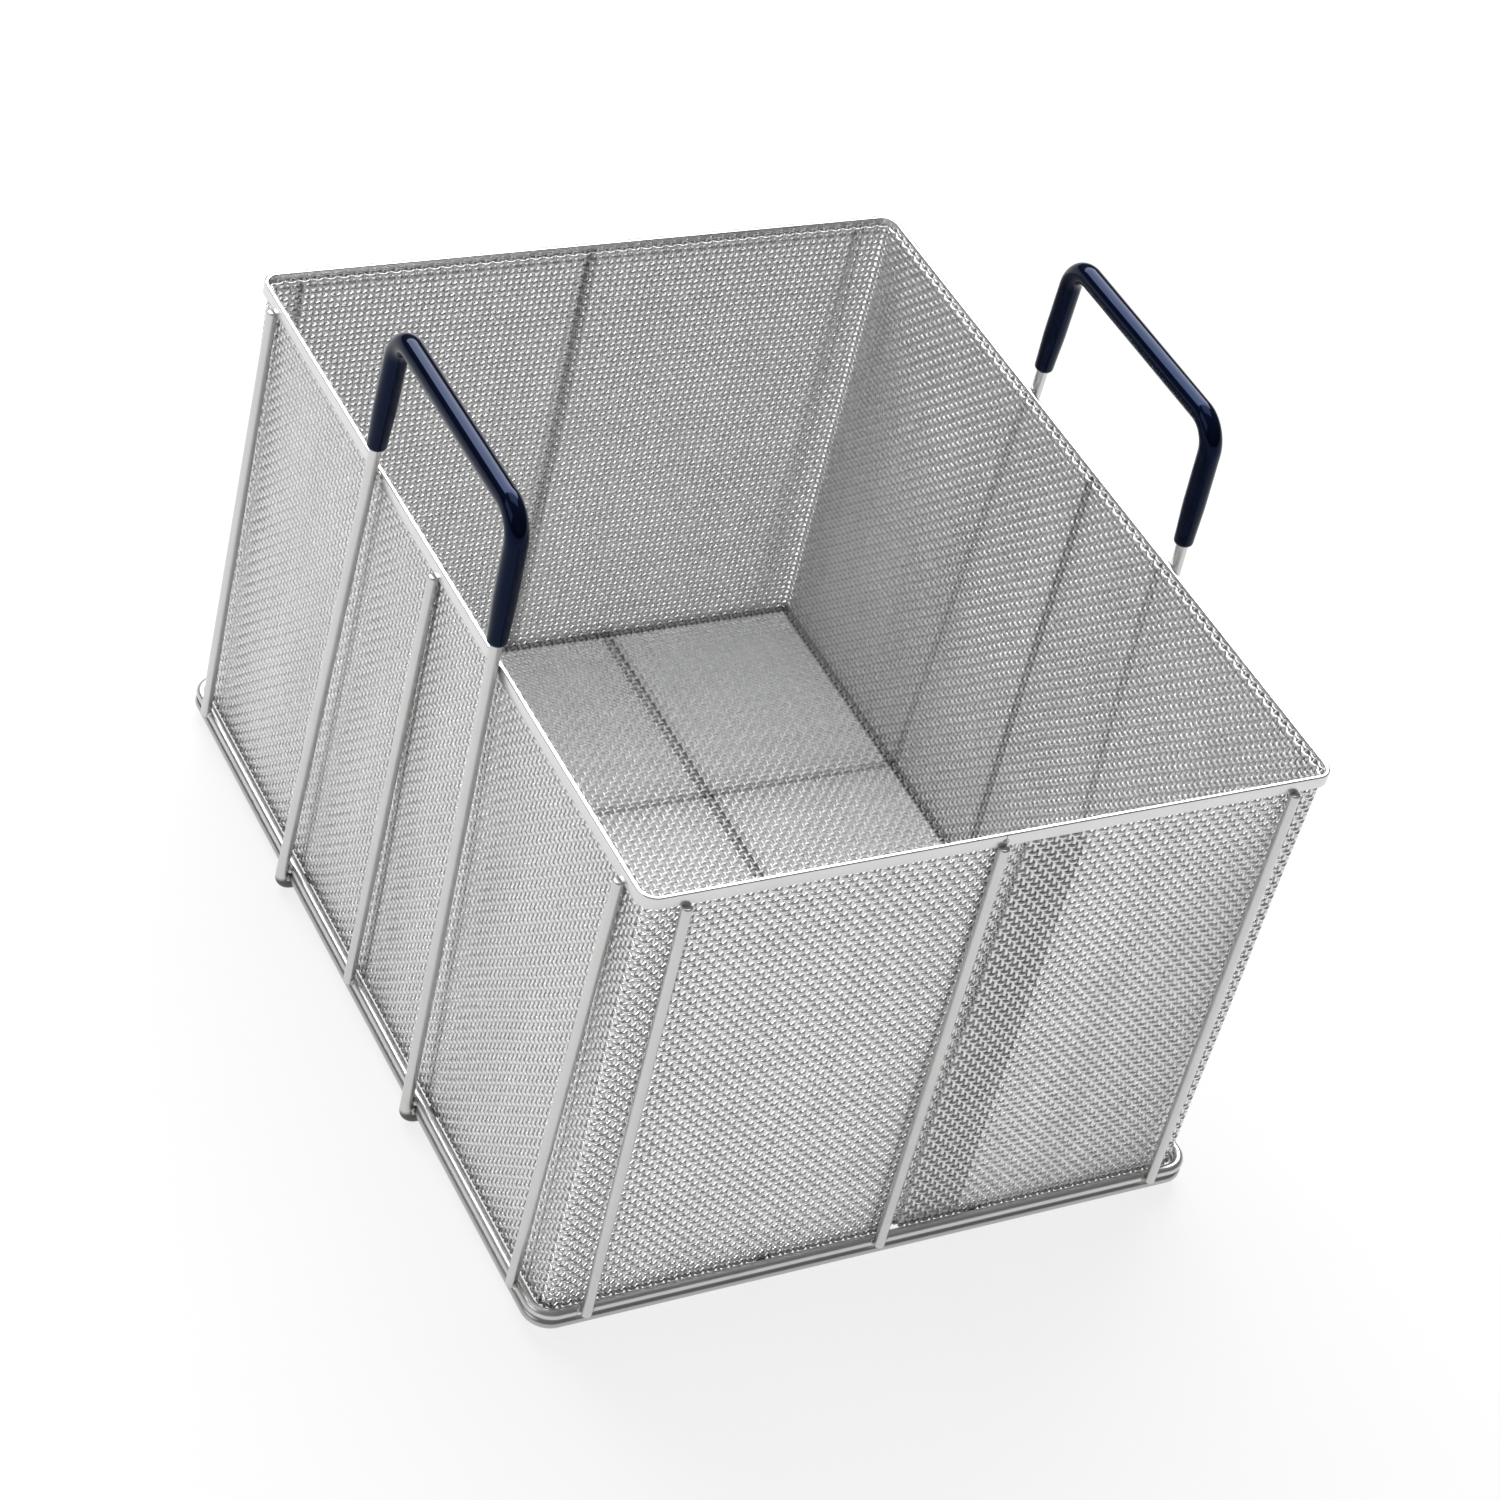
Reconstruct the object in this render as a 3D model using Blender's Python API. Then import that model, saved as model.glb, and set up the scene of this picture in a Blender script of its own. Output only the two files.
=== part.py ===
"""Pasta cooking basket: a box of woven steel mesh in a welded wire frame.

The mesh box is one strip wrapped round with a lap on the front, and a flat
floor panel inside it.  A flat rim bar runs round the strip's top edge, two
stacked wire rings run round its foot, and upright wires tie them together.  Each
handle is one bent wire: it rises over the rim in a dipped grip, comes down the
side, wraps round the lower ring and runs under the floor to the middle.

All sizes are in metres, +Z is up, +X is across, the front faces -Y, and the
origin is on the ground under the middle of the basket.
"""

import math

import bmesh
import bpy
from mathutils import Matrix, Vector

# Overall size of the mesh box, on the middle of the sheet
BASKET_WIDTH = 0.304
BASKET_LENGTH = 0.388
RIM_HEIGHT = 0.243
CORNER_RADIUS = 0.0045

# Sheet and wire
MESH_THICKNESS = 0.0018
FRAME_WIRE = 0.0048
HANDLE_WIRE = 0.0052

# Touching pieces keep this clearance
SEAT_GAP = 0.0003

# Rim bar outside the mesh, standing a little proud of its cut edge
RIM_THICKNESS = 0.002
RIM_DEPTH = 0.0058
RIM_TOP_ROUND = 0.0007
RIM_PROUD = 0.0008

# Clear space between the mesh and the base rings
RING_STANDOFF = 0.0018

# Wrapped mesh strip: the lap on the front wall
LAP_WIDTH = 0.030
LAP_CENTRE = 0.028
LAP_STEP = 0.006

# Upright wires: how far the outer ones stand from the ends of each wall
SIDE_UPRIGHT_MARGIN = 0.0155
END_UPRIGHT_MARGIN = 0.0155
WELD_SINK = 0.0024
UPRIGHT_END_ROUND = 0.0009

# Floor bars along the basket
FLOOR_BAR_REACH = 0.051

# Handles
LEG_FOOT_REACH = 0.0735
LEG_TOP_REACH = 0.059
HANDLE_RISE = 0.069
HANDLE_BEND = 0.013
RUNNER_JOINT = 0.0003

# Dipped grips
GRIP_DIAMETER = 0.0098
GRIP_END_DIAMETER = 0.0086
GRIP_CLEARANCE = 0.011
GRIP_END_ROUND = 0.0018
GRIP_SWELL = 0.030

# Weld beads between the handle legs and the rim
BEAD_LENGTH = 0.0058
BEAD_WIDTH = 0.0026
BEAD_HEIGHT = 0.0048
CUT_OVERRUN = 0.004

# Counts of flat sides and of steps round a bend
WIRE_SIDES = 12
NOTCH_SIDES = 16
GRIP_SIDES = 16
CORNER_STEPS = 6
BEND_STEPS = 7
ROUND_STEPS = 3
BEAD_SEGMENTS = 16
BEAD_RINGS = 5

# Sizes that follow from those above
HALF_WIDTH = BASKET_WIDTH / 2
HALF_LENGTH = BASKET_LENGTH / 2
HALF_MESH = MESH_THICKNESS / 2
FRAME_RADIUS = FRAME_WIRE / 2
HANDLE_RADIUS = HANDLE_WIRE / 2

LOWER_RING_HEIGHT = HANDLE_WIRE + SEAT_GAP + FRAME_RADIUS
UPPER_RING_HEIGHT = LOWER_RING_HEIGHT + FRAME_WIRE + SEAT_GAP
FLOOR_BOTTOM = LOWER_RING_HEIGHT + FRAME_RADIUS + SEAT_GAP
FLOOR_TOP = FLOOR_BOTTOM + MESH_THICKNESS
RIM_BOTTOM = RIM_HEIGHT - RIM_DEPTH
WALL_TOP = RIM_HEIGHT - RIM_PROUD

# Offsets outwards from the middle of the mesh wall
RING_OFFSET = HALF_MESH + RING_STANDOFF + FRAME_RADIUS
RIM_INNER_FACE = HALF_MESH + SEAT_GAP
RIM_OUTER_FACE = RIM_INNER_FACE + RIM_THICKNESS
UPRIGHT_TOP_OFFSET = HALF_MESH + SEAT_GAP + FRAME_RADIUS
UPRIGHT_FOOT_OFFSET = RING_OFFSET + FRAME_WIRE + SEAT_GAP - WELD_SINK
UPRIGHT_FOOT = UPPER_RING_HEIGHT - FRAME_RADIUS / 2
UPRIGHT_TOP = RIM_BOTTOM - SEAT_GAP
FOOT_BEND = FRAME_RADIUS + SEAT_GAP + HANDLE_RADIUS
LEG_FOOT_OFFSET = RING_OFFSET + FOOT_BEND
LEG_RIM_OFFSET = RIM_OUTER_FACE + SEAT_GAP + HANDLE_RADIUS
HANDLE_TOP = RIM_HEIGHT + HANDLE_RISE
GRIP_FOOT = RIM_HEIGHT + GRIP_CLEARANCE

STEEL = ("brushed_steel", (0.62, 0.62, 0.61, 1.0), 1.0, 0.32)
BRIGHT_STEEL = ("bright_steel", (0.72, 0.72, 0.71, 1.0), 1.0, 0.22)
MESH_STEEL = ("woven_steel", (0.55, 0.55, 0.54, 1.0), 1.0, 0.40)
NAVY_PLASTIC = ("navy_plastic", (0.006, 0.011, 0.035, 1.0), 0.0, 0.16)


def clear_scene():
    """Remove every object that is already in the scene."""
    for thing in list(bpy.data.objects):
        bpy.data.objects.remove(thing, do_unlink=True)


def material_for(finish, piece_name):
    """Make one piece's own Principled material from a finish."""
    finish_name, colour, metallic, roughness = finish
    material = bpy.data.materials.new(piece_name + "_" + finish_name)
    material.use_nodes = True
    shader = material.node_tree.nodes["Principled BSDF"]
    shader.inputs["Base Color"].default_value = colour
    shader.inputs["Metallic"].default_value = metallic
    shader.inputs["Roughness"].default_value = roughness
    material.diffuse_color = colour
    return material


def add_piece(name, body, finish, smooth_angle=math.radians(40)):
    """Turn a finished bmesh into a named object with its own material."""
    bmesh.ops.recalc_face_normals(body, faces=body.faces)
    mesh = bpy.data.meshes.new(name)
    body.to_mesh(mesh)
    body.free()
    mesh.shade_smooth()
    mesh.set_sharp_from_angle(angle=smooth_angle)
    mesh.materials.append(material_for(finish, name))
    piece = bpy.data.objects.new(name, mesh)
    bpy.context.scene.collection.objects.link(piece)
    return piece


def skin(rings, closed=False):
    """Bridge a chain of equal rings of points into one closed body."""
    body = bmesh.new()
    rows = [[body.verts.new(point) for point in ring] for ring in rings]
    pairs = list(zip(rows, rows[1:]))
    if closed:
        pairs.append((rows[-1], rows[0]))
    for first, second in pairs:
        count = len(first)
        for k in range(count):
            after = (k + 1) % count
            body.faces.new((first[k], first[after], second[after], second[k]))
    if not closed:
        body.faces.new(rows[0][::-1])
        body.faces.new(rows[-1])
    return body


def round_profile(radius, sides):
    """Points round a circle whose flat sides lie at the true radius."""
    reach = radius / math.cos(math.pi / sides)
    turn = 2 * math.pi / sides
    return [
        (reach * math.cos(turn * (k + 0.5)), reach * math.sin(turn * (k + 0.5)))
        for k in range(sides)
    ]


def rounded_path(corners, radii, steps):
    """Straight runs through the corners, each inner corner rounded by an arc."""
    path = [Vector(corners[0])]
    for before, corner, after, radius in zip(corners, corners[1:], corners[2:], radii):
        corner = Vector(corner)
        back = (Vector(before) - corner).normalized()
        ahead = (Vector(after) - corner).normalized()
        half_angle = back.angle(ahead) / 2
        middle = (back + ahead).normalized()
        centre = corner + middle * (radius / math.sin(half_angle))
        start = corner + back * (radius / math.tan(half_angle)) - centre
        axis = back.cross(ahead).normalized()
        sweep = math.pi - 2 * half_angle
        for k in range(steps + 1):
            turn = Matrix.Rotation(-sweep * k / steps, 3, axis)
            path.append(centre + turn @ start)
    path.append(Vector(corners[-1]))
    return path


def path_frames(path, side):
    """Carry a side direction along a path without twisting it."""
    frames = []
    last = None
    for k, point in enumerate(path):
        before = path[max(k - 1, 0)]
        after = path[min(k + 1, len(path) - 1)]
        ahead = (after - point).normalized() if after != point else Vector()
        behind = (point - before).normalized() if before != point else Vector()
        forward = (ahead + behind).normalized()
        if last is not None:
            side = last.rotation_difference(forward) @ side
        side = (side - forward * side.dot(forward)).normalized()
        frames.append((point, side, forward.cross(side)))
        last = forward
    return frames


def tube_rings(path, side, radii, sides):
    """Round sections along a path, one radius for each of its points."""
    rings = []
    for (point, across, up), radius in zip(path_frames(path, side), radii):
        profile = round_profile(radius, sides)
        rings.append([point + across * u + up * v for u, v in profile])
    return rings


def rectangle_outline(half_x, half_y, radius, steps):
    """Rounded rectangle as (point, outward direction) pairs, anticlockwise."""
    outline = []
    for quarter, (sign_x, sign_y) in enumerate(((1, 1), (-1, 1), (-1, -1), (1, -1))):
        centre = Vector((sign_x * (half_x - radius), sign_y * (half_y - radius)))
        for k in range(steps + 1):
            angle = (quarter + k / steps) * math.pi / 2
            outward = Vector((math.cos(angle), math.sin(angle)))
            outline.append((centre + outward * radius, outward))
    return outline


def box_outline():
    """Middle line of the mesh wall with its outward directions."""
    return rectangle_outline(HALF_WIDTH, HALF_LENGTH, CORNER_RADIUS, CORNER_STEPS)


def opened_at_front(outline, start_x, end_x):
    """Open an outline on the front wall: it starts and ends at the given x."""
    facing = Vector((0, -1))
    split = len(outline) * 3 // 4
    start = (Vector((start_x, -HALF_LENGTH)), facing)
    end = (Vector((end_x, -HALF_LENGTH)), facing)
    return [start] + outline[split:] + outline[:split] + [end]


def section_rings(outline, profile):
    """Carry an (outward, height) profile round an outline in the ground plane."""
    rings = []
    for point, outward in outline:
        rings.append([
            Vector((point.x + outward.x * u, point.y + outward.y * u, z))
            for u, z in profile
        ])
    return rings


def arc_points(centre_u, centre_z, radius, start, end):
    """A few points on an arc, angles in quarter turns."""
    points = []
    for k in range(ROUND_STEPS + 1):
        angle = (start + (end - start) * k / ROUND_STEPS) * math.pi / 2
        points.append((centre_u + radius * math.cos(angle), centre_z + radius * math.sin(angle)))
    return points


def rim_profile():
    """Section of the rim bar: flat, its two upper edges rounded."""
    shoulder = RIM_HEIGHT - RIM_TOP_ROUND
    profile = arc_points(RIM_OUTER_FACE - RIM_TOP_ROUND, shoulder, RIM_TOP_ROUND, 0, 1)
    profile += arc_points(RIM_INNER_FACE + RIM_TOP_ROUND, shoulder, RIM_TOP_ROUND, 1, 2)
    profile += [(RIM_INNER_FACE, RIM_BOTTOM), (RIM_OUTER_FACE, RIM_BOTTOM)]
    return profile


def make_rim():
    """Rim bar bent round the box, its two ends butted in the middle of the front."""
    outline = opened_at_front(box_outline(), SEAT_GAP / 2, -SEAT_GAP / 2)
    return add_piece("rim_channel", skin(section_rings(outline, rim_profile())), BRIGHT_STEEL)


def wall_section(point, outward, inset, bottom, top):
    """One upright rectangle across the mesh strip."""
    corners = ((-HALF_MESH, bottom), (HALF_MESH, bottom), (HALF_MESH, top), (-HALF_MESH, top))
    return [
        Vector((point.x + outward.x * (u - inset), point.y + outward.y * (u - inset), z))
        for u, z in corners
    ]


def make_wall():
    """Mesh strip wrapped round the box; its tail steps inwards behind its start."""
    lap_start = LAP_CENTRE - LAP_WIDTH / 2
    lap_end = LAP_CENTRE + LAP_WIDTH / 2
    step_start = lap_start - LAP_STEP - SEAT_GAP
    step_end = lap_start - SEAT_GAP
    inset = MESH_THICKNESS + SEAT_GAP
    tail_bottom = FLOOR_TOP + SEAT_GAP
    outline = opened_at_front(box_outline(), lap_start, step_start)
    rings = [wall_section(p, n, 0, FLOOR_BOTTOM, WALL_TOP) for p, n in outline]
    facing = outline[-1][1]
    for x, depth in ((step_start, 0), (step_end, inset), (lap_end, inset)):
        place = Vector((x, -HALF_LENGTH))
        if depth == 0:
            place.x += SEAT_GAP
        rings.append(wall_section(place, facing, depth, tail_bottom, WALL_TOP))
    return add_piece("wall_mesh", skin(rings), MESH_STEEL)


def make_floor():
    """Flat floor panel inside the foot of the wall."""
    inset = HALF_MESH + SEAT_GAP
    outline = rectangle_outline(
        HALF_WIDTH - inset, HALF_LENGTH - inset, CORNER_RADIUS - inset, CORNER_STEPS)
    rings = [[Vector((p.x, p.y, z)) for p, _ in outline] for z in (FLOOR_BOTTOM, FLOOR_TOP)]
    return add_piece("floor_mesh", skin(rings), MESH_STEEL)


def make_base_rings():
    """Two stacked wire rings round the foot of the wall."""
    for name, height in (("base_ring_lower", LOWER_RING_HEIGHT), ("base_ring_upper", UPPER_RING_HEIGHT)):
        profile = [
            (RING_OFFSET + u, height + v) for u, v in round_profile(FRAME_RADIUS, WIRE_SIDES)
        ]
        add_piece(name, skin(section_rings(box_outline(), profile), closed=True), STEEL)


def end_rounding(radius, end_round):
    """Insets and radii from the tip of a wire's end up to its full size."""
    steps = [k / ROUND_STEPS * math.pi / 2 for k in range(ROUND_STEPS + 1)]
    return [
        (end_round * (1 - math.cos(angle)), radius - end_round * (1 - math.sin(angle)))
        for angle in steps
    ]


def rounded_ends(start, end, radius, end_round):
    """Path and radii of a straight wire whose ends are rounded over."""
    along = (end - start).normalized()
    places = end_rounding(radius, end_round)
    path = [start + along * inset for inset, _ in places]
    path += [end - along * inset for inset, _ in reversed(places)]
    radii = [wide for _, wide in places]
    return path, radii + radii[::-1]


def ring_notch(name, middle, along):
    """Cutter in the shape of the upper ring where an upright is welded over it."""
    reach = along * (FRAME_WIRE + CUT_OVERRUN)
    path = [middle - reach, middle + reach]
    radii = [FRAME_RADIUS + SEAT_GAP] * 2
    body = skin(tube_rings(path, Vector((0, 0, 1)), radii, NOTCH_SIDES))
    cutter = add_piece(name, body, STEEL)
    cutter.hide_render = True
    cutter.display_type = "WIRE"
    return cutter


def cut_by(piece, cutter):
    """Take the cutter's shape out of a piece."""
    cut = piece.modifiers.new("notch", "BOOLEAN")
    cut.operation = "DIFFERENCE"
    cut.solver = "EXACT"
    cut.object = cutter


def make_upright(name, wall_point, outward):
    """Upright wire on a wall, leaning out over the upper ring and notched by it."""
    foot = wall_point + outward * UPRIGHT_FOOT_OFFSET + Vector((0, 0, UPRIGHT_FOOT))
    top = wall_point + outward * UPRIGHT_TOP_OFFSET + Vector((0, 0, UPRIGHT_TOP))
    path, radii = rounded_ends(foot, top, FRAME_RADIUS, UPRIGHT_END_ROUND)
    upright = add_piece(name, skin(tube_rings(path, outward, radii, WIRE_SIDES)), STEEL)
    ring_middle = wall_point + outward * RING_OFFSET + Vector((0, 0, UPPER_RING_HEIGHT))
    along = outward.cross(Vector((0, 0, 1)))
    cut_by(upright, ring_notch("notch_" + name, ring_middle, along))
    return upright


def make_uprights():
    """Three uprights on each wall."""
    side_reach = HALF_LENGTH - SIDE_UPRIGHT_MARGIN
    end_reach = HALF_WIDTH - END_UPRIGHT_MARGIN
    for side, sign in (("left", -1), ("right", 1)):
        for place, y in (("front", -side_reach), ("middle", 0), ("rear", side_reach)):
            wall_point = Vector((sign * HALF_WIDTH, y, 0))
            make_upright("upright_" + side + "_" + place, wall_point, Vector((sign, 0, 0)))
    for side, sign in (("front", -1), ("rear", 1)):
        for place, x in (("left", -end_reach), ("middle", 0), ("right", end_reach)):
            wall_point = Vector((x, sign * HALF_LENGTH, 0))
            make_upright("upright_" + side + "_" + place, wall_point, Vector((0, sign, 0)))


def make_floor_bars():
    """Two bars along the basket, between the ends of the lower ring."""
    reach = HALF_LENGTH + RING_OFFSET - FRAME_RADIUS - SEAT_GAP
    for name, x in (("floor_bar_left", -FLOOR_BAR_REACH), ("floor_bar_right", FLOOR_BAR_REACH)):
        path = [Vector((x, -reach, LOWER_RING_HEIGHT)), Vector((x, reach, LOWER_RING_HEIGHT))]
        rings = tube_rings(path, Vector((0, 0, 1)), [FRAME_RADIUS] * 2, WIRE_SIDES)
        add_piece(name, skin(rings), STEEL)


def leg_point(sign_x, sign_y, height):
    """Point on a handle leg's straight middle line at a height."""
    foot = Vector((HALF_WIDTH + LEG_FOOT_OFFSET, LEG_FOOT_REACH, HANDLE_RADIUS))
    rim = HALF_WIDTH + LEG_RIM_OFFSET
    lean_x = (rim - foot.x) / (RIM_BOTTOM - foot.z)
    lean_y = (LEG_TOP_REACH - LEG_FOOT_REACH) / (HANDLE_TOP - foot.z)
    rise = height - foot.z
    return Vector((sign_x * (foot.x + lean_x * rise), sign_y * (foot.y + lean_y * rise), height))


def handle_corners(sign_x):
    """Corners of one handle wire, from runner end to runner end."""
    corners = []
    for sign_y in (1, -1):
        runner_end = Vector((sign_x * RUNNER_JOINT / 2, sign_y * LEG_FOOT_REACH, HANDLE_RADIUS))
        limb = [runner_end, leg_point(sign_x, sign_y, HANDLE_RADIUS), leg_point(sign_x, sign_y, HANDLE_TOP)]
        corners += limb if sign_y > 0 else limb[::-1]
    return corners


def make_handle(name, sign_x):
    """Handle wire: runner, foot bend, leg, top bar, leg, foot bend, runner."""
    radii = (FOOT_BEND, HANDLE_BEND, HANDLE_BEND, FOOT_BEND)
    path = rounded_path(handle_corners(sign_x), radii, BEND_STEPS)
    rings = tube_rings(path, Vector((0, 0, 1)), [HANDLE_RADIUS] * len(path), WIRE_SIDES)
    return add_piece(name, skin(rings), STEEL)


def grip_path(sign_x):
    """Middle line of a grip, over the top of its handle, with extra stations."""
    rear = [leg_point(sign_x, 1, z) for z in (GRIP_FOOT, HANDLE_TOP)]
    front = [leg_point(sign_x, -1, z) for z in (HANDLE_TOP, GRIP_FOOT)]
    path = rounded_path(rear + front, (HANDLE_BEND, HANDLE_BEND), BEND_STEPS)
    along = (path[1] - path[0]).normalized()
    end_along = (path[-2] - path[-1]).normalized()
    swell_start = path[0] + along * GRIP_SWELL
    swell_end = path[-1] + end_along * GRIP_SWELL
    return [path[0], swell_start] + path[1:-1] + [swell_end, path[-1]]


def make_grip(name, sign_x):
    """Dipped sleeve: slimmer at its rounded ends, with a bore for the wire."""
    path = grip_path(sign_x)
    full = GRIP_DIAMETER / 2
    slim = GRIP_END_DIAMETER / 2
    bore = HANDLE_RADIUS + SEAT_GAP
    start, end = path[0], path[-1]
    start_along = (path[1] - start).normalized()
    end_along = (path[-2] - end).normalized()
    lips = end_rounding(slim, GRIP_END_ROUND)
    outer_path = [start + start_along * inset for inset, _ in lips] + path[1:-1]
    outer_path += [end + end_along * inset for inset, _ in reversed(lips)]
    lip_radii = [radius for _, radius in lips]
    outer_radii = lip_radii + [full] * (len(path) - 2) + lip_radii[::-1]
    side = Vector((sign_x, 0, 0))
    outer = tube_rings(outer_path, side, outer_radii, GRIP_SIDES)
    inner_path = [path[0]] + path[2:-2] + [path[-1]]
    inner = tube_rings(inner_path, side, [bore] * len(inner_path), GRIP_SIDES)
    return add_piece(name, skin(outer + inner[::-1], closed=True), NAVY_PLASTIC)


def leg_cutter(name, sign_x, sign_y):
    """Cutter in the shape of a handle leg beside the rim."""
    low = leg_point(sign_x, sign_y, RIM_BOTTOM - CUT_OVERRUN)
    high = leg_point(sign_x, sign_y, RIM_HEIGHT + CUT_OVERRUN)
    radii = [HANDLE_RADIUS + SEAT_GAP] * 2
    body = skin(tube_rings([low, high], Vector((sign_x, 0, 0)), radii, WIRE_SIDES))
    cutter = add_piece(name, body, STEEL)
    cutter.hide_render = True
    cutter.display_type = "WIRE"
    return cutter


def make_bead(name, sign_x, sign_y):
    """Weld bead in the corner between a handle leg and the rim."""
    height = RIM_HEIGHT - RIM_DEPTH / 2
    rim_face = HALF_WIDTH + RIM_OUTER_FACE + SEAT_GAP
    middle_y = leg_point(sign_x, sign_y, height).y - sign_y * HANDLE_RADIUS
    rings = []
    for k in range(BEAD_RINGS):
        rise = k / BEAD_RINGS * math.pi / 2
        x = sign_x * (rim_face + BEAD_WIDTH * math.sin(rise))
        half_y = BEAD_LENGTH / 2 * math.cos(rise)
        half_z = BEAD_HEIGHT / 2 * math.cos(rise)
        rings.append([
            Vector((x, middle_y + half_y * u, height + half_z * v))
            for u, v in round_profile(1, BEAD_SEGMENTS)
        ])
    bead = add_piece(name, skin(rings), BRIGHT_STEEL)
    cut_by(bead, leg_cutter("leg_" + name, sign_x, sign_y))
    return bead


def make_handles():
    """Handles, their grips and the beads that weld them to the rim."""
    for side, sign_x in (("left", -1), ("right", 1)):
        make_handle("handle_" + side, sign_x)
        make_grip("grip_" + side, sign_x)
        for place, sign_y in (("front", -1), ("rear", 1)):
            make_bead("rim_weld_" + side + "_" + place, sign_x, sign_y)


def main():
    clear_scene()
    make_rim()
    make_wall()
    make_floor()
    make_base_rings()
    make_uprights()
    make_floor_bars()
    make_handles()


main()
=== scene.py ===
"""Looks of the pasta cooking basket: woven wires, steel frame, dipped grips.

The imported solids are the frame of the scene.  The plain sheets that stand for
the mesh are replaced by woven wires, and the faceted wires, rim and grips by
smooth ones of the same size, welded where the real ones are.

Lengths are in metres, +Z is up, +X is across, the front faces -Y.
"""

import logging
import math
from dataclasses import dataclass, field
from enum import Enum
from functools import cached_property
from typing import Any, Iterable, Optional, Sequence, Union

import bpy
import numpy as np
from mathutils import Matrix


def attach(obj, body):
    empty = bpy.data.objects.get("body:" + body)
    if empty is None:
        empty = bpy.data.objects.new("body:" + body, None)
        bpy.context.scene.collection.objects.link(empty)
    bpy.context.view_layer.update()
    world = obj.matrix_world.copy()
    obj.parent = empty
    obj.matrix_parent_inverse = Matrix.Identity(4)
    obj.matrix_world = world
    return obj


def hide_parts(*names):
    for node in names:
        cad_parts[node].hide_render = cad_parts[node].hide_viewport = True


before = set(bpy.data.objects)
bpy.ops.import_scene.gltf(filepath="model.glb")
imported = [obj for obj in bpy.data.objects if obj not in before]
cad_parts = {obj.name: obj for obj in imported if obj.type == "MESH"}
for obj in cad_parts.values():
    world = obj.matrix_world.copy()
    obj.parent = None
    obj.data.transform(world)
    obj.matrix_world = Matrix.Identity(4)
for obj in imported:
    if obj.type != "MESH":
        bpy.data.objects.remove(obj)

log = logging.getLogger("pasta_basket")

MM = 0.001
BODY = "root"

Array = np.ndarray
Pair = tuple[float, float]
Vector = tuple[float, float, float]
Row = tuple[float, float, float, float]
Colour = Row


def grey(level: float) -> Colour:
    """Opaque neutral colour."""
    return level, level, level, 1.0


class Slot(Enum):
    """Material slots of the record."""

    FRAME = "frame_steel"
    RIM = "rim_steel"
    MESH = "mesh_steel"
    GRIP = "grip_plastic"


# Shader maths


class Signal:
    """A shader socket that can be used in Python expressions."""

    def __init__(self, recipe: "Recipe", socket: Any) -> None:
        """Wrap a socket of a recipe's node tree."""
        self.recipe = recipe
        self.socket = socket

    def _maths(self, operation: str, *values: Any) -> "Signal":
        """Add one Math node."""
        return self.recipe.node("ShaderNodeMath", {"operation": operation}, dict(enumerate(values)))

    def __add__(self, other: Any) -> "Signal":
        """Sum."""
        return self._maths("ADD", self, other)

    __radd__ = __add__

    def __sub__(self, other: Any) -> "Signal":
        """Difference."""
        return self._maths("SUBTRACT", self, other)

    def __rsub__(self, other: Any) -> "Signal":
        """Difference, reflected."""
        return self._maths("SUBTRACT", other, self)

    def __mul__(self, other: Any) -> "Signal":
        """Product."""
        return self._maths("MULTIPLY", self, other)

    __rmul__ = __mul__

    def size(self) -> "Signal":
        """Value without its sign."""
        return self._maths("ABSOLUTE", self)

    def cosine(self) -> "Signal":
        """Cosine of an angle."""
        return self._maths("COSINE", self)

    def ramp(self, low: float, high: float, start: float = 0.0, end: float = 1.0) -> "Signal":
        """Smooth step from start, for values up to low, to end, for values from high on."""
        return self.recipe.node("ShaderNodeMapRange", {"interpolation_type": "SMOOTHSTEP"}, {
            "Value": self, "From Min": low, "From Max": high, "To Min": start, "To Max": end})


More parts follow.
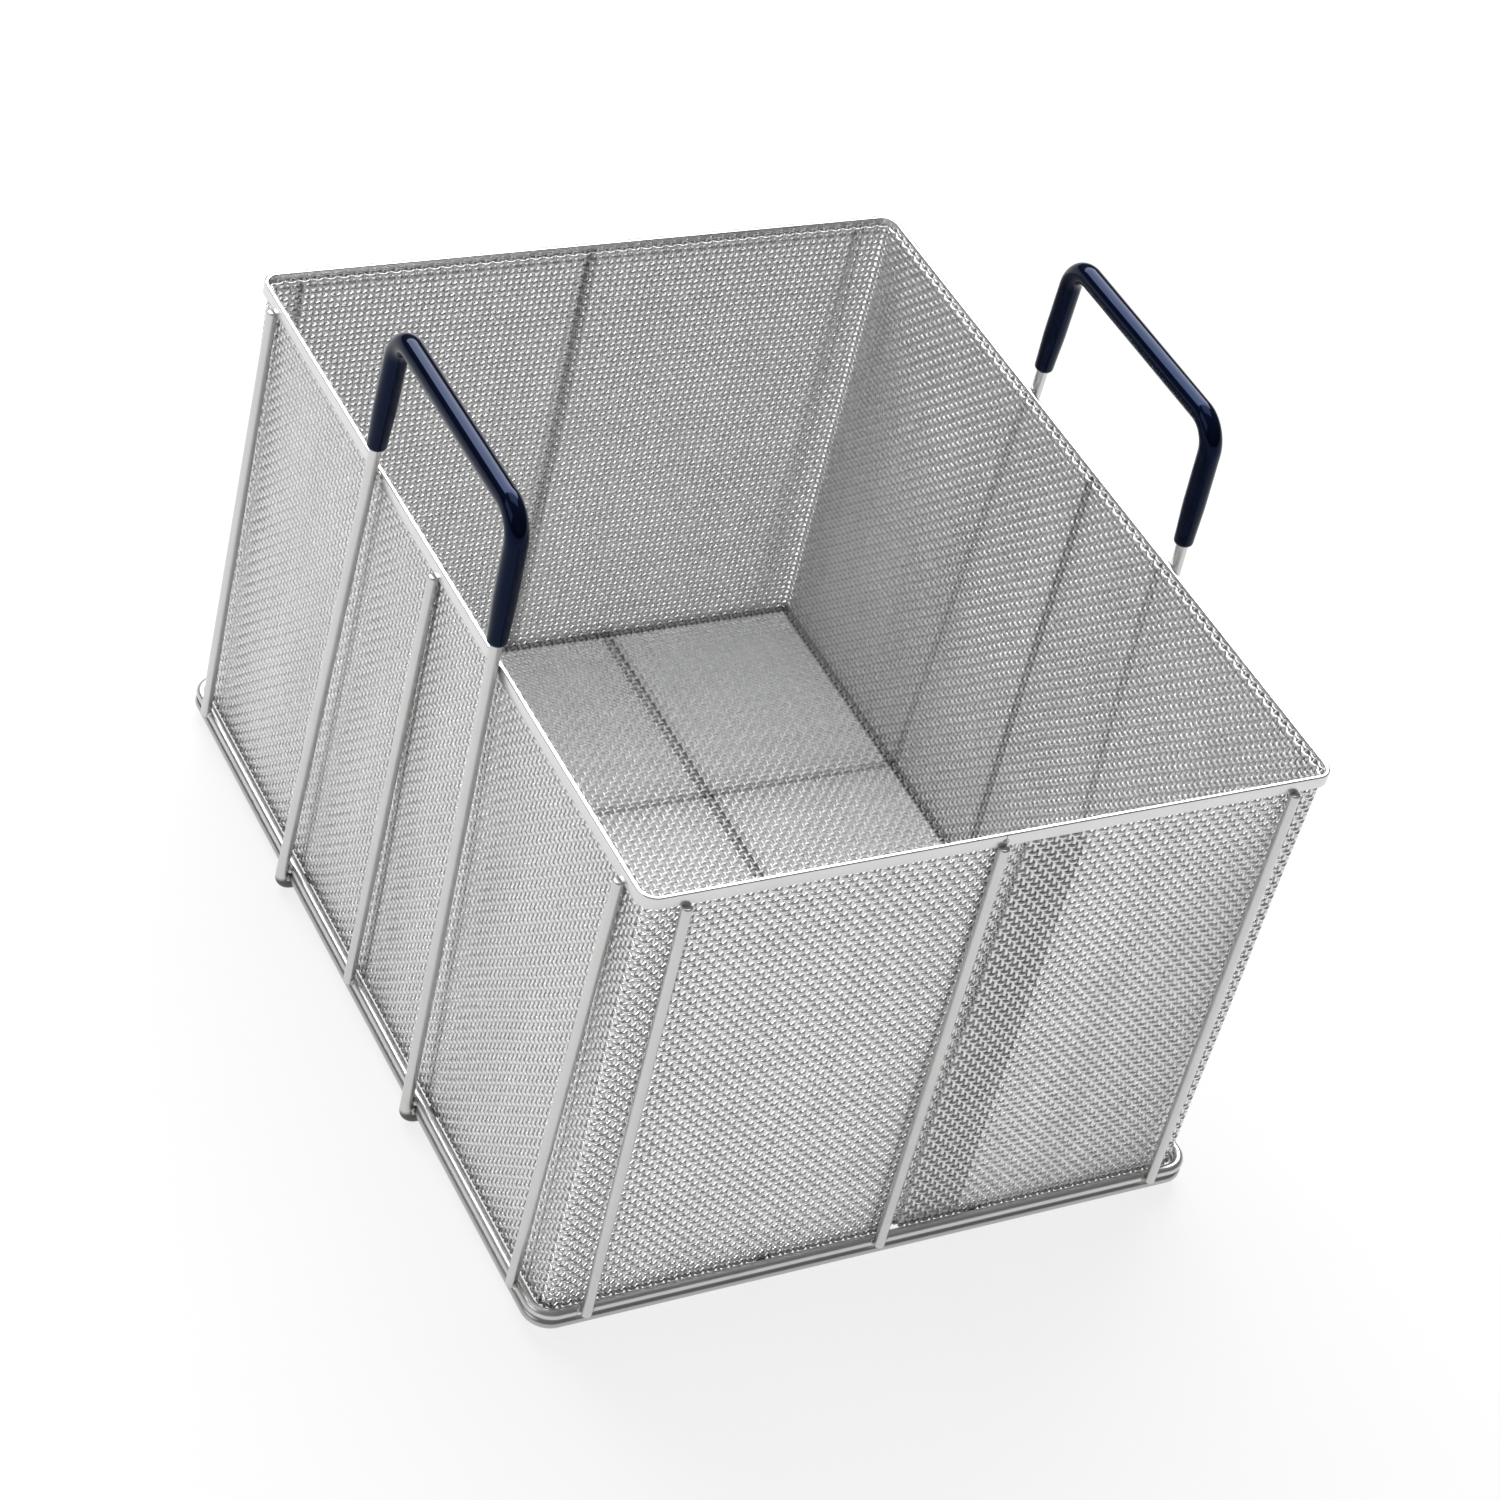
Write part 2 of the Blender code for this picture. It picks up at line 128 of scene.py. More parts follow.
class Recipe:
    """Node tree of a material or a world, written as expressions."""

    def __init__(self, owner: Any, shader: str = "Principled BSDF") -> None:
        """Start from the owner's own shader.

        Args:
            owner: the new material or world.
            shader: name of its shader node.
        """
        owner.use_nodes = True
        self.tree = owner.node_tree
        self.shader = self.tree.nodes[shader]

    @cached_property
    def place(self) -> Signal:
        """Object coordinates, in metres."""
        return self.node("ShaderNodeTexCoord", {}, {}, "Object")

    def node(self, kind: str, settings: dict[str, Any], inputs: dict[Any, Any],
             output: Union[int, str] = 0) -> Signal:
        """Add a node.

        Args:
            kind: the node's type.
            settings: attributes of the node, set first.
            inputs: socket name or index to a value or a Signal.
            output: socket that the Signal wraps.

        Returns:
            The wrapped output socket.
        """
        made = self.tree.nodes.new(kind)
        for key, value in settings.items():
            setattr(made, key, value)
        for key, value in inputs.items():
            self.feed(made.inputs[key], value)
        return Signal(self, made.outputs[output])

    def feed(self, socket: Any, value: Any) -> None:
        """Link a Signal to a socket, or set the socket's own value.

        Args:
            socket: the input.
            value: a Signal or a constant.
        """
        if isinstance(value, Signal):
            self.tree.links.new(value.socket, socket)
        else:
            socket.default_value = value

    def axis(self, letter: str, place: Optional[Signal] = None) -> Signal:
        """One coordinate, of the Object ones where no others are given."""
        return self.node("ShaderNodeSeparateXYZ", {}, {0: place or self.place}, letter)

    def noise(self, scale: float, detail: float, stretch: Optional[Vector] = None) -> Signal:
        """Noise around 0.5 on Object coordinates.

        Args:
            scale: how fine it is.
            detail: finer octaves on top.
            stretch: how much finer it is along each axis, where that differs.

        Returns:
            The noise.
        """
        place = self.place if stretch is None else self.node(
            "ShaderNodeVectorMath", {"operation": "MULTIPLY"}, {0: self.place, 1: stretch})
        return self.node(
            "ShaderNodeTexNoise", {}, {"Vector": place, "Scale": scale, "Detail": detail})

    def tint(self, mask: Any, low: Any, high: Any) -> Signal:
        """Colour that is low where the mask is 0 and high where it is 1."""
        return self.node("ShaderNodeMix", {"data_type": "RGBA"}, {0: mask, 6: low, 7: high}, 2)

    def finish(self, **values: Any) -> None:
        """Set or link the shader's sockets, spaces written as underscores."""
        for key, value in values.items():
            self.feed(self.shader.inputs[key.replace("_", " ")], value)


@dataclass(frozen=True)
class Finish:
    """Two tones mixed by a cloud, which sways the roughness too, over a fine relief.

    A cloud is a noise's scale and detail.  A relief is a noise's scale and
    detail, the bump's strength and its depth.  Gloss names further sockets.
    """

    dark: Colour
    pale: Colour
    roughness: float
    sway: float
    cloud: Pair
    relief: Optional[Row] = None
    stretch: Optional[Vector] = None
    metallic: float = 1.0
    gloss: tuple[tuple[str, Any], ...] = ()

    def material(self, name: str) -> bpy.types.Material:
        """Make a material and paint it.

        Args:
            name: the material's name.

        Returns:
            The painted material.
        """
        material = bpy.data.materials.new(name)
        recipe = Recipe(material)
        cloud = recipe.noise(*self.cloud)
        rough = self.roughness - self.sway + 2 * self.sway * cloud
        recipe.finish(Base_Color=self.colour(recipe, cloud), Metallic=self.metallic,
                      Roughness=rough, **dict(self.gloss))
        if self.relief:
            scale, detail, strength, depth = self.relief
            height = recipe.noise(scale, detail, self.stretch)
            recipe.finish(Normal=recipe.node(
                "ShaderNodeBump", {}, {"Height": height, "Strength": strength, "Distance": depth}))
        return material

    def colour(self, recipe: Recipe, cloud: Signal) -> Signal:
        """Base colour, the two tones mixed by the cloud."""
        return recipe.tint(cloud, self.dark, self.pale)


@dataclass(frozen=True)
class WovenSteel(Finish):
    """Fine stainless wire of the mesh: pale, satin, each wire its own tone.

    The mesh has painted shade where the walls meet the floor, and bands of
    painted shade over the parts behind it, the uprights' bands partly weld
    tint.  Rows of the side walls have a painted highlight on their crests and
    painted shade in their hollows.
    """

    dark: Colour = grey(0.72)
    pale: Colour = grey(0.90)
    # Painted highlight of the rows' crests; painted shade of the join, the bands and the rows'
    # hollows.
    painted_highlight: Colour = grey(0.98)
    painted_shade: Colour = (0.26, 0.255, 0.25, 1.0)
    roughness: float = 0.35
    sway: float = 0.08
    cloud: Pair = (28.0, 3.0)
    grain: Pair = (900.0, 1.0)
    shares: Vector = (0.50, 0.35, 0.15)
    seam_x: Pair = (147.2 * MM, 149.2 * MM)
    seam_y: Pair = (189.2 * MM, 191.2 * MM)
    seam_z: Pair = (12.0 * MM, 14.0 * MM)
    mark_edge: Pair = (2.0 * MM, 3.2 * MM)
    # Places and shares of the painted shade over the bars, runners, uprights and legs behind the
    # mesh.
    floor_bar_x: float = 51.0 * MM
    runner_y: float = 73.5 * MM
    leg_y: float = 74.4 * MM
    leg_lean: float = 0.065
    floor_bar_share: float = 0.36
    runner_share: float = 0.45
    upright_share: float = 0.45
    leg_share: float = 0.24
    row_start: float = 10.9 * MM
    row_pitch: float = 3.0224 * MM
    hollow_share: float = 0.38
    crest_share: float = 0.70

    def mark(self, distance: Signal) -> Signal:
        """Soft band round a place, by the distance from it."""
        return distance.size().ramp(*self.mark_edge, 1.0, 0.0)

    def colour(self, recipe: Recipe, cloud: Signal) -> Signal:
        """Mix the wires' tones, cloud and grain, then the rows' painted highlight and shade, and
        the painted shade at the join and in the bands.

        Args:
            recipe: the material's nodes.
            cloud: slow noise.

        Returns:
            The colour.
        """
        tone = recipe.node("ShaderNodeAttribute", {"attribute_name": "wire_tone"}, {}, "Fac")
        own, cloudy, grainy = self.shares
        wear = recipe.tint(own * tone + cloudy * cloud + grainy * recipe.noise(*self.grain),
                           self.dark, self.pale)
        across, along = (recipe.axis(letter).size() for letter in "XY")
        height = recipe.axis("Z")
        side_wall = across.ramp(*self.seam_x)
        end_wall = along.ramp(*self.seam_y)
        low = height.ramp(*self.seam_z, 1.0, 0.0)
        # Painted shade in bands beside the uprights, partly weld tint, and beside the handle legs.
        upright = side_wall * self.mark(along) + end_wall * self.mark(across)
        leg = side_wall * self.mark(along + height * self.leg_lean - self.leg_y)
        # Painted shade over the floor bars and the handle runners under the floor mesh.
        under = self.mark(across - self.floor_bar_x) * self.floor_bar_share + self.mark(
            along - self.runner_y) * self.runner_share
        # Painted highlight on each row's crest and painted shade in its hollow, on the side walls.
        wave = ((height - self.row_start) * (math.tau / self.row_pitch)).cosine()
        rows = side_wall * (1.0 - low) * 0.5
        row_shade = rows * (1.0 + wave) * self.hollow_share
        steel = recipe.tint(rows * (1.0 - wave) * self.crest_share, wear, self.painted_highlight)
        shade_marks = upright * self.upright_share + leg * self.leg_share
        # All the painted shade: at the wall-floor join, in bands over the parts behind the mesh,
        # and in the rows' hollows.
        shade_mix = low * (side_wall + end_wall + under) + (1.0 - low) * shade_marks + row_shade
        return recipe.tint(shade_mix, steel, self.painted_shade)


@dataclass(frozen=True)
class DrawnSteel(Finish):
    """Drawn frame wire: satin, fine die lines, heat tint at the feet, painted shade under the
    floor.
    """

    dark: Colour = (0.56, 0.56, 0.555, 1.0)
    pale: Colour = (0.66, 0.66, 0.655, 1.0)
    heat: Colour = (0.40, 0.385, 0.37, 1.0)
    # Painted shade of the wire that lies below the floor.
    under_floor_shade: Colour = (0.45, 0.45, 0.445, 1.0)
    roughness: float = 0.33
    sway: float = 0.05
    cloud: Pair = (60.0, 3.0)
    relief: Row = (1.0, 2.0, 0.06, 0.1 * MM)
    stretch: Vector = (1600.0, 1600.0, 60.0)
    patches: Pair = (45.0, 2.0)
    patch_step: Pair = (0.56, 0.70)
    heat_share: float = 0.5
    shade_heights: Pair = (9.5 * MM, 11.8 * MM)
    foot_z: Pair = (9.0 * MM, 22.0 * MM)

    def colour(self, recipe: Recipe, cloud: Signal) -> Signal:
        """Tint the cloudy satin in patches near the feet, and darken it lower down with painted
        shade.

        Args:
            recipe: the material's nodes.
            cloud: slow noise.

        Returns:
            The colour.
        """
        height = recipe.axis("Z")
        patches = recipe.noise(*self.patches).ramp(*self.patch_step)
        burnt = patches * height.ramp(*self.foot_z, 1.0, 0.0) * self.heat_share
        satin = recipe.tint(burnt, recipe.tint(cloud, self.dark, self.pale), self.heat)
        # Painted shade below the floor's height.
        return recipe.tint(height.ramp(*self.shade_heights), self.under_floor_shade, satin)


@dataclass(frozen=True)
class RolledSteel(Finish):
    """Flat rim bar: bright, rolled smooth, with faint rubbed patches and shallow dents."""

    dark: Colour = grey(0.62)
    pale: Colour = grey(0.74)
    roughness: float = 0.26
    sway: float = 0.06
    cloud: Pair = (45.0, 3.0)
    relief: Row = (110.0, 1.0, 0.15, 0.4 * MM)


@dataclass(frozen=True)
class WeldSteel(Finish):
    """Fused metal of a weld: rougher than the wire, rippled, with bright and burnt spots."""

    dark: Colour = (0.30, 0.285, 0.27, 1.0)
    pale: Colour = (0.72, 0.72, 0.71, 1.0)
    roughness: float = 0.38
    sway: float = 0.06
    cloud: Pair = (420.0, 2.0)
    relief: Row = (1100.0, 2.0, 0.5, 0.3 * MM)
    spot_step: Pair = (0.40, 0.62)

    def colour(self, recipe: Recipe, cloud: Signal) -> Signal:
        """Burn the surface where the noise is low."""
        return recipe.tint(cloud.ramp(*self.spot_step), self.dark, self.pale)


@dataclass(frozen=True)
class DippedPlastic(Finish):
    """Dipped navy plastisol: near black, its gloss tinted blue, slightly wavy from the dip."""

    dark: Colour = (0.0010, 0.0018, 0.007, 1.0)
    pale: Colour = (0.0018, 0.0038, 0.014, 1.0)
    roughness: float = 0.08
    sway: float = 0.02
    cloud: Pair = (70.0, 2.0)
    relief: Row = (120.0, 1.0, 0.05, 0.4 * MM)
    metallic: float = 0.0
    gloss: tuple[tuple[str, Any], ...] = (
        ("Specular_IOR_Level", 0.25), ("Specular_Tint", (0.24, 0.42, 1.0, 1.0)))


# Skins


def ring_points(centres: Array, across: Array, radii: Any, sides: int) -> Array:
    """Round sections along middle lines.

    A ring at a station is centre + r (cos t . A + sin t . T x A), where T is
    the line's tangent, A the across direction made square to it and r the
    station's radius.

    Args:
        centres: ... x stations x 3 points on the middle lines.
        across: directions across the lines, never along them.
        radii: ... x stations radii, or one radius.
        sides: points on a ring.

    Returns:
        ... x stations x sides x 3 points.
    """
    tangent = np.gradient(centres, axis=-2)
    tangent /= np.linalg.norm(tangent, axis=-1, keepdims=True)
    side = across - tangent * np.sum(across * tangent, axis=-1, keepdims=True)
    side /= np.linalg.norm(side, axis=-1, keepdims=True)
    other = np.cross(tangent, side)
    turn = ((np.arange(sides) + 0.5) * 2 * math.pi / sides)[:, None]
    ring = np.cos(turn) * side[..., None, :] + np.sin(turn) * other[..., None, :]
    return centres[..., None, :] + np.asarray(radii)[..., None, None] * ring


@dataclass
class Skin:
    """Closed surfaces of one piece, gathered as arrays of vertices, faces and tones."""

    rng: Optional[np.random.Generator] = None
    sides: int = 4
    cut: float = 0.35
    points: list[Array] = field(default_factory=list)
    quads: list[Array] = field(default_factory=list)
    caps: list[Array] = field(default_factory=list)
    tones: list[Array] = field(default_factory=list)
    count: int = 0

    def add(self, grids: Array, tones: Any = 0.5, loop: bool = False) -> None:
        """Add surfaces that run from ring to ring.

        Args:
            grids: surfaces x rings x sides x 3 points, or one surface without the first axis.
            tones: one tone for each surface.
            loop: true where the last ring meets the first, otherwise both ends are capped.
        """
        grids = grids if grids.ndim == 4 else grids[None]
        pieces, rings, sides, _ = grids.shape
        number = np.arange(pieces * rings * sides).reshape(pieces, rings, sides) + self.count
        rows = np.concatenate((number, number[:, :1]), axis=1) if loop else number
        after = np.roll(rows, -1, axis=2)
        walls = np.stack((rows[:, :-1], after[:, :-1], after[:, 1:], rows[:, 1:]), axis=-1)
        self.quads.append(walls.reshape(-1, 4))
        if not loop:
            self.caps.append(np.concatenate((number[:, 0, ::-1], number[:, -1])))
        self.points.append(grids.reshape(-1, 3))
        self.tones.append(np.repeat(np.broadcast_to(tones, (pieces,)), rings * sides))
        self.count += pieces * rings * sides

    def wires(self, centres: Array, across: Array, radius: float) -> None:
        """Add fine wires as square tubes of a round wire's section area, their ends sheared thin.

        Args:
            centres: wires x stations x 3 points on the middle lines.
            across: directions across the wires, of the same shape.
            radius: true radius of the wire.
        """
        step = math.pi / self.sides
        corner = radius * math.sqrt(step / math.tan(step)) / math.cos(step)
        radii = np.full(centres.shape[:2], corner)
        radii[:, (0, -1)] *= self.cut
        self.add(ring_points(centres, across, radii, self.sides), self.rng.random(len(centres)))

    def present(self, name: str, finish: Finish, slot: Slot, *nodes: str,
                crease: float = 0.0) -> None:
        """Put the gathered surfaces into one smooth piece, dress it and let it ride on the basket.

        Args:
            name: the piece's name.
            finish: its finish.
            slot: material slot of the record, not used.
            nodes: CAD nodes that it stands for.
            crease: degrees above which an edge stays sharp, none at zero.
        """
        points = np.concatenate(self.points)
        groups = self.quads + self.caps
        corners = np.concatenate([group.ravel() for group in groups])
        sizes = np.concatenate([np.full(len(group), group.shape[1]) for group in groups])
        mesh = bpy.data.meshes.new(name)
        mesh.vertices.add(len(points))
        mesh.vertices.foreach_set("co", points.astype(np.float32).ravel())
        mesh.loops.add(len(corners))
        mesh.loops.foreach_set("vertex_index", corners.astype(np.int32))
        mesh.polygons.add(len(sizes))
        mesh.polygons.foreach_set("loop_start", (np.cumsum(sizes) - sizes).astype(np.int32))
        mesh.polygons.foreach_set("use_smooth", np.ones(len(sizes), dtype=bool))
        tone = mesh.attributes.new("wire_tone", "FLOAT", "POINT")
        tone.data.foreach_set("value", np.concatenate(self.tones).astype(np.float32))
        mesh.update(calc_edges=True)
        if crease > 0.0:
            mesh.set_sharp_from_angle(angle=math.radians(crease))
        mesh.materials.append(finish.material(name + "_finish"))
        piece = bpy.data.objects.new(name, mesh)
        bpy.context.scene.collection.objects.link(piece)
        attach(piece, BODY)
        if nodes:
            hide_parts(*nodes)
        log.info("%s: %d faces", name, len(sizes))


# Shared sizes


@dataclass(frozen=True)
class Plan:
    """Sizes that the sub-assemblies are built on, outwards from the mesh's middle line."""

    half_width: float = 152.0 * MM
    half_length: float = 194.0 * MM
    corner: float = 4.5 * MM
    rim_top: float = 243.0 * MM
    rim_bottom: float = 237.2 * MM
    rim_inner: float = 1.2 * MM
    rim_outer: float = 3.2 * MM
    wire: float = 2.4 * MM
    handle_wire: float = 2.6 * MM
    ring_out: float = 5.1 * MM
    lower_ring: float = 7.9 * MM
    upper_ring: float = 13.0 * MM
    side_reach: float = 178.5 * MM
    end_reach: float = 136.5 * MM
    leg_foot_out: float = 10.4 * MM
    leg_rim_out: float = 6.1 * MM
    leg_foot_reach: float = 73.5 * MM
    leg_top_reach: float = 59.0 * MM
    handle_top: float = 312.0 * MM

    def outline(self, steps: int = 12) -> tuple[Array, Array]:
        """Middle line of the wall, a rounded rectangle walked from the front right corner.

        Args:
            steps: points on each corner, less one.

        Returns:
            Points on the ground and outward directions.
        """
        quarter = np.repeat((3, 0, 1, 2), steps + 1)
        angle = (quarter + np.tile(np.linspace(0.0, 1.0, steps + 1), 4)) * math.pi / 2
        outward = np.stack((np.cos(angle), np.sin(angle)), axis=1)
        signs = np.array(((1, 1), (-1, 1), (-1, -1), (1, -1)))[quarter]
        inner = np.array((self.half_width - self.corner, self.half_length - self.corner))
        return signs * inner + self.corner * outward, outward

    def walls(self) -> list[tuple[str, Array, float, tuple[Vector, ...]]]:
        """The four walls.

        Returns:
            Name, outward direction, distance and the uprights' places along each.
        """
        return [(name, np.array(facing, dtype=float), half, (-reach, 0.0, reach))
                for name, facing, half, reach in (
                    ("left", (-1, 0), self.half_width, self.side_reach),
                    ("right", (1, 0), self.half_width, self.side_reach),
                    ("front", (0, -1), self.half_length, self.end_reach),
                    ("rear", (0, 1), self.half_length, self.end_reach))]

    def leg(self, side: int, end: int, height: float) -> Array:
        """Point on a handle leg's middle line, which leans in towards rim and middle.

        Args:
            side: -1 for the left handle, 1 for the right one.
            end: -1 for the front leg, 1 for the rear one.
            height: height of the point.

        Returns:
            The point.
        """
        rise = height - self.handle_wire
        out = self.leg_foot_out + (self.leg_rim_out - self.leg_foot_out) * rise / (
            self.rim_bottom - self.handle_wire)
        reach = self.leg_foot_reach + (self.leg_top_reach - self.leg_foot_reach) * rise / (
            self.handle_top - self.handle_wire)
        return np.array((side * (self.half_width + out), end * reach, height))


# Woven mesh


def sines(x: Array, y: Array, table: Sequence[Row]) -> list[Array]:
    """Slow waves d . sin(a x + b y + c), one for each row (a, b, c, d) of a table."""
    return [d * np.sin(x * a + y * b + c) for a, b, c, d in table]


@dataclass
class Weave:
    """Plain weave of round wire: pitch, wire size and the crimp that follows."""

    pitch: float = 3.02 * MM
    wire: float = 1.38 * MM
    crimp: float = 0.62 * MM

    @property
    def radius(self) -> float:
        """Radius of the wire."""
        return self.wire / 2

    def stations(self, crossings: Array, low: float, high: float) -> Array:
        """Places along a wire: a quarter pitch each side of every crossing, and both ends.

        Args:
            crossings: places of the crossings along the wire.
            low: where the wire starts.
            high: where it ends.

        Returns:
            Places in order.
        """
        step = crossings[1] - crossings[0]
        inner = np.stack((crossings - step / 4, crossings + step / 4), axis=1).ravel()
        return np.concatenate(([low], inner, [high]))

    def heights(self, row: Array, crossings: int, over: int) -> Array:
        """Crimp of wires: + or - the same height, turning over at each crossing.

        Args:
            row: number of each wire.
            crossings: how many crossings each wire has.
            over: 0 or 1, which of the two families goes over first.

        Returns:
            wires x stations heights above the sheet's middle.
        """
        sign = 1 - 2 * ((row[:, None] + np.arange(crossings)[None, :] + over) % 2)
        waves = np.repeat(sign, 2, axis=1) * self.crimp
        return np.concatenate((waves[:, :1], waves, waves[:, -1:]), axis=1)


@dataclass
class WallMesh:
    """The mesh strip wrapped round the basket, lapped on the front wall."""

    plan: Plan = Plan()
    bottom: float = 10.9 * MM
    top: float = 240.6 * MM
    tail_bottom: float = 13.2 * MM
    tail_top: float = 238.6 * MM
    lap_start: float = 13.0 * MM
    step_start: float = 6.7 * MM
    step_end: float = 12.7 * MM
    lap_end: float = 43.0 * MM
    inset: float = 2.65 * MM
    bulge: float = 0.7 * MM
    drift: float = 0.22 * MM
    bow_waves: tuple[Row, ...] = ((52.0, 0.0, 1.3, 1.0), (9.0, 31.0, 0.0, 1.0))
    lift_waves: tuple[Row, ...] = ((61.0, 17.0, 0.0, 1.0), (143.0, -40.0, 0.0, 0.6))
    slide_waves: tuple[Row, ...] = ((23.0, 48.0, 0.0, 1.0), (-31.0, 97.0, 0.0, 0.5))
    corner_steps: int = 16
    weave: Weave = field(default_factory=Weave)

    def __post_init__(self) -> None:
        """Lay out the strip's middle line, seen from above, and the crossings on it.

        The line is a rounded rectangle walked anticlockwise from the lap's start
        on the front, then the step inwards and the straight tail behind it.
        """
        ends = np.array([(x, inset - self.plan.half_length, 0.0, -1.0) for x, inset in (
            (self.lap_start, 0.0), (self.step_start, 0.0), (self.step_end, self.inset),
            (self.lap_end, self.inset))])
        corners = np.concatenate(self.plan.outline(self.corner_steps), axis=1)
        self.knots = np.concatenate((ends[:1], corners, ends[1:]))
        steps = np.linalg.norm(np.diff(self.knots[:, :2], axis=0), axis=1)
        self.reach = np.concatenate(([0.0], np.cumsum(steps)))
        self.length, self.tail_from = float(self.reach[-1]), float(self.reach[-3])
        tall = self.top - self.bottom
        columns, rows = (int(round(size / self.weave.pitch)) for size in (self.length, tall))
        self.along = (np.arange(columns) + 0.5) * self.length / columns
        self.up = self.bottom + (np.arange(rows) + 0.5) * tall / rows

    def wires(self, along: Array, up: Array, out: Array, bundle: Skin) -> None:
        """Add wires by the strip's own coordinates, uneven as hand-made ones are.

        The strip bows inwards by a product of slow waves, and the wires drift
        along and up by sums of such waves.  All of it fades at the foot and the rim.

        Args:
            along: arc lengths, in a shape that spreads to that of out.
            up: heights, in a shape that spreads to that of out.
            out: wires x stations distances from the strip's middle.
            bundle: where they go.
        """
        along, up = (np.broadcast_to(part, out.shape) for part in (along, up))
        still = np.sin(math.pi * np.clip((up - self.bottom) / (self.top - self.bottom), 0.0, 1.0))
        first, second = sines(along, up, self.bow_waves)
        outwards = out - self.bulge * still * (0.5 + 0.5 * first * second)
        lift, slide = (self.drift * still * sum(sines(along, up, table))
                       for table in (self.lift_waves, self.slide_waves))
        x, y, east, north = (np.interp(along + slide, self.reach, knots) for knots in self.knots.T)
        centres = np.stack((x + east * outwards, y + north * outwards, up + lift), axis=-1)
        east, north = (np.interp(along, self.reach, knots) for knots in self.knots.T[2:])
        facing = np.stack((east, north, np.zeros_like(east)), axis=-1)
        bundle.wires(centres, facing, self.weave.radius)

    def warps(self, chosen: Array, bundle: Skin) -> None:
        """Add upright wires of the mesh.

        Args:
            chosen: numbers of the wires along the strip.
            bundle: where they go.
        """
        in_tail = self.along[chosen] > self.tail_from
        for part, low, high in ((chosen[~in_tail], self.bottom, self.top),
                                (chosen[in_tail], self.tail_bottom, self.tail_top)):
            if len(part):
                rows = np.flatnonzero((self.up > low) & (self.up < high))
                up = self.weave.stations(self.up[rows], low, high)[None, :]
                out = self.weave.heights(part + rows[0], len(rows), 1)
                self.wires(self.along[part][:, None], up, out, bundle)

    def wefts(self, chosen: Array, bundle: Skin) -> None:
        """Add wires of the mesh that run round the basket.

        Args:
            chosen: numbers of the wires, from the bottom up.
            bundle: where they go.
        """
        height = self.up[chosen]
        in_tail = (height > self.tail_bottom) & (height < self.tail_top)
        for part, end in ((chosen[in_tail], self.length), (chosen[~in_tail], self.tail_from)):
            if len(part):
                crossings = self.along[self.along < end]
                along = self.weave.stations(crossings, 0.0, end)[None, :]
                out = self.weave.heights(part, len(crossings), 0)
                self.wires(along, self.up[part][:, None], out, bundle)

    def build(self, rng: np.random.Generator, finish: Finish) -> None:
        """Make the wall's wires, split by wall and by height.

        Args:
            rng: source of the wires' tones.
            finish: their steel.
        """
        middles = self.corner_steps // 2 + 1 + np.arange(4) * (self.corner_steps + 1)
        wall = np.searchsorted([*self.reach[middles], self.tail_from], self.along)
        names = np.array(("front", "right", "rear", "left", "front", "lap"))
        jobs = [("warp_" + name, self.warps, np.flatnonzero(names[wall] == name))
                for name in ("front", "right", "rear", "left", "lap")]
        bands = np.array_split(np.arange(len(self.up)), 4)
        jobs += [("weft_" + name, self.wefts, band)
                 for name, band in zip(("low", "lower_middle", "upper_middle", "high"), bands)]
        for name, add, chosen in jobs:
            bundle = Skin(rng)
            add(chosen, bundle)
            bundle.present("mesh_wall_" + name, finish, Slot.MESH, "wall_mesh")


@dataclass
class FloorMesh:
    """The flat mesh panel that lies on the lower ring and the floor bars."""

    halves: Pair = (150.6 * MM, 192.6 * MM)
    corner: float = 3.3 * MM
    height: float = 11.5 * MM
    rise: float = 0.5 * MM
    bow_waves: tuple[Row, ...] = ((61.5, 0.0, 1.57, 1.0), (0.0, 33.0, 0.4, 1.0))
    weave: Weave = field(default_factory=Weave)

    def spread(self, half: float) -> Array:
        """Evenly spaced wires up to the panel's edges, at about the weave's pitch."""
        reach = half - self.weave.radius
        return np.linspace(-reach, reach, int(round(2 * reach / self.weave.pitch)) + 1)

    def wires(self, part: Array, turned: int, bundle: Skin) -> None:
        """Add wires of one family, bowed upwards by a product of slow waves.

        A wire ends at the panel's rounded outline, which is its half size less
        r - root(r^2 - i^2), where i is how far into a corner of radius r it stands.

        Args:
            part: numbers of the wires in their family.
            turned: 1 where they run across the basket, otherwise 0.
            bundle: where they go.
        """
        half_side, half_reach = self.halves[::-1] if turned else self.halves
        side, crossings = self.spread(half_side)[part][:, None], self.spread(half_reach)
        into = np.clip(np.abs(side) - (half_side - self.corner), 0.0, self.corner)
        half = half_reach - self.corner + np.sqrt(self.corner ** 2 - into ** 2)
        inner = self.weave.stations(crossings, 0.0, 0.0)[1:-1]
        inner = np.broadcast_to(inner, (len(part), len(inner)))
        run = np.concatenate((-half, inner, half), axis=1)
        across = np.broadcast_to(side, run.shape)
        x, y = (run, across) if turned else (across, run)
        first, second = sines(x, y, self.bow_waves)
        lift = self.weave.heights(part, len(crossings), turned)
        z = self.height + lift + self.rise * (0.5 + 0.5 * first * second)
        upright = np.broadcast_to(np.array((0.0, 0.0, 1.0)), (*run.shape, 3))
        bundle.wires(np.stack((x, y, z), axis=-1), upright, self.weave.radius)

    def build(self, rng: np.random.Generator, finish: Finish) -> None:
        """Make the floor's wires, each family in two pieces.

        Args:
            rng: source of the wires' tones.
            finish: their steel.
        """
        families = (("long", ("left", "right")), ("cross", ("front", "rear")))
        for turned, (kind, names) in enumerate(families):
            numbers = np.arange(len(self.spread(self.halves[turned])))
            for name, part in zip(names, np.array_split(numbers, 2)):
                bundle = Skin(rng)
                self.wires(part, turned, bundle)
                bundle.present(f"mesh_floor_{kind}_{name}", finish, Slot.MESH, "floor_mesh")


# Sub-assemblies


